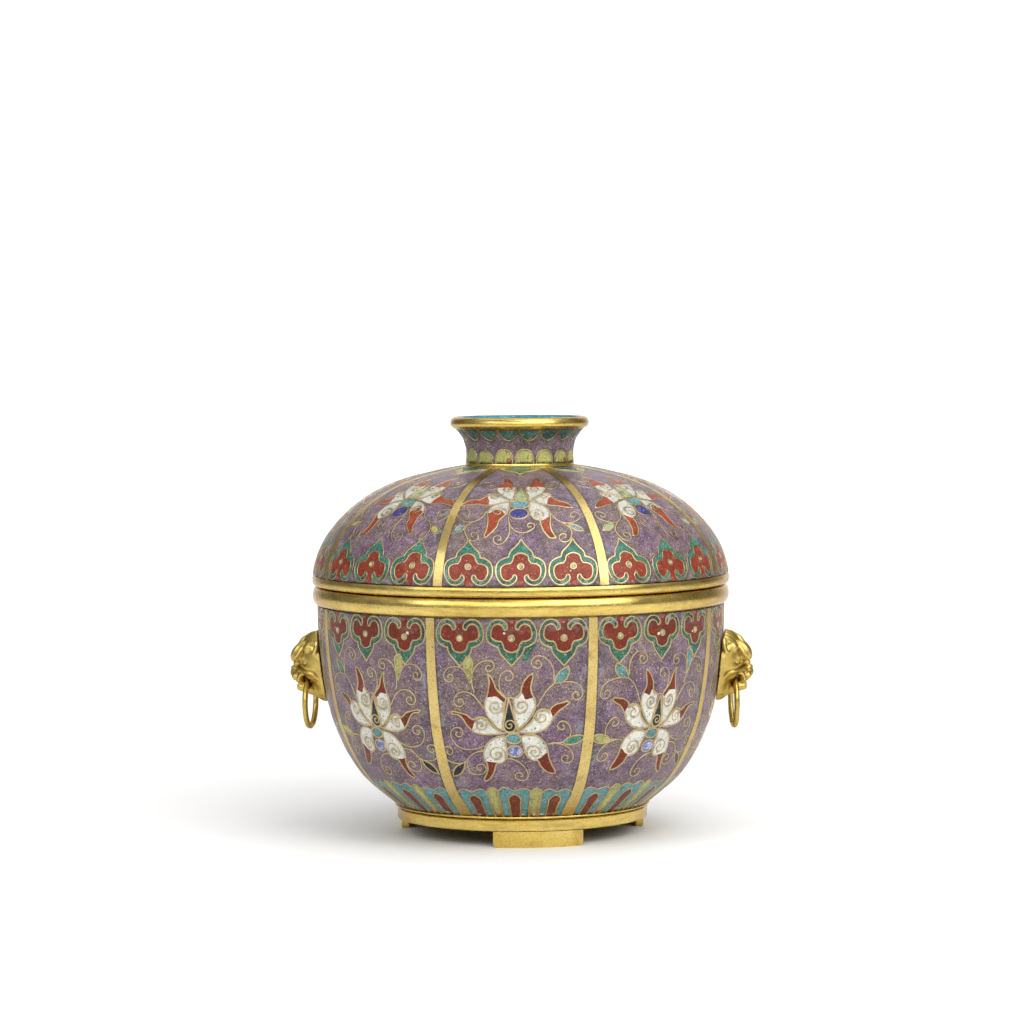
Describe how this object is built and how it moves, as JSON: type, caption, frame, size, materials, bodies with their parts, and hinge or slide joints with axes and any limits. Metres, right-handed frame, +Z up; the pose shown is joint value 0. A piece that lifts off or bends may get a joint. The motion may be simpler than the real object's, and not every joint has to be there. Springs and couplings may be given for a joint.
{
  "type": "covered bowl",
  "caption": "Round covered bowl of enamelled metal with a lift-off domed cover, a cup-shaped finial, beast-mask handles with loose rings, and a foot ring on bracket feet.",
  "frame": {"origin": "centre of the base, on the plane the three feet stand on", "axes": "+Z up along the vessel's axis; +X towards one mask handle, -X towards the other; -Y towards the front panel"},
  "size_m": [0.1862, 0.1666, 0.1667],
  "materials": {
    "gilt_bronze": "worn fire gilding, softly polished",
    "copper": "gilt copper wall, satin",
    "enamel": "polished cloisonne enamel, aubergine ground",
    "enamel_turquoise": "polished enamel, turquoise"
  },
  "bodies": {
    "bowl": {"bowl_enamel_panel_1": "enamel", "bowl_enamel_panel_2": "enamel", "bowl_enamel_panel_3": "enamel", "bowl_enamel_panel_4": "enamel", "bowl_enamel_panel_5": "enamel", "bowl_enamel_panel_6": "enamel", "bowl_enamel_panel_7": "enamel", "bowl_enamel_panel_8": "enamel", "bowl_rib_1": "gilt_bronze", "bowl_rib_2": "gilt_bronze", "bowl_rib_3": "gilt_bronze", "bowl_rib_4": "gilt_bronze", "bowl_rib_5": "gilt_bronze", "bowl_rib_6": "gilt_bronze", "bowl_rib_7": "gilt_bronze", "bowl_rib_8": "gilt_bronze", "bowl_rim_moulding": "gilt_bronze", "bowl_shell": "copper", "cover_seat_collar": "gilt_bronze", "foot_back_left": "gilt_bronze", "foot_back_right": "gilt_bronze", "foot_fillet": "gilt_bronze", "foot_front": "gilt_bronze", "foot_ring": "gilt_bronze", "mask_left": "gilt_bronze", "mask_right": "gilt_bronze", "mask_rivet_left_lower": "gilt_bronze", "mask_rivet_left_upper": "gilt_bronze", "mask_rivet_right_lower": "gilt_bronze", "mask_rivet_right_upper": "gilt_bronze"},
    "cover": {"cover_edge_band": "gilt_bronze", "cover_enamel_panel_1": "enamel", "cover_enamel_panel_2": "enamel", "cover_enamel_panel_3": "enamel", "cover_enamel_panel_4": "enamel", "cover_enamel_panel_5": "enamel", "cover_enamel_panel_6": "enamel", "cover_enamel_panel_7": "enamel", "cover_enamel_panel_8": "enamel", "cover_rib_1": "gilt_bronze", "cover_rib_2": "gilt_bronze", "cover_rib_3": "gilt_bronze", "cover_rib_4": "gilt_bronze", "cover_rib_5": "gilt_bronze", "cover_rib_6": "gilt_bronze", "cover_rib_7": "gilt_bronze", "cover_rib_8": "gilt_bronze", "cover_shell": "copper", "finial_base_ring": "gilt_bronze", "finial_enamel": "enamel", "finial_floor": "enamel_turquoise", "finial_lining": "enamel_turquoise", "finial_rim": "gilt_bronze", "finial_wall": "copper"},
    "ring_left": {"ring_left": "gilt_bronze"},
    "ring_right": {"ring_right": "gilt_bronze"}
  },
  "joints": [
    {"name": "cover_lift", "type": "slide", "parent": "bowl", "child": "cover", "axis": [0, 0, 1], "range_m": [0, 0.12]},
    {"name": "ring_left_swing", "type": "hinge", "parent": "bowl", "child": "ring_left", "pos_m": [-0.0851, 0, 0.06135], "axis": [0.1219, 0.9925, 0], "range_deg": [-12, 110]},
    {"name": "ring_right_swing", "type": "hinge", "parent": "bowl", "child": "ring_right", "pos_m": [0.0851, 0, 0.06135], "axis": [0.1219, -0.9925, 0], "range_deg": [-12, 110]}
  ]
}
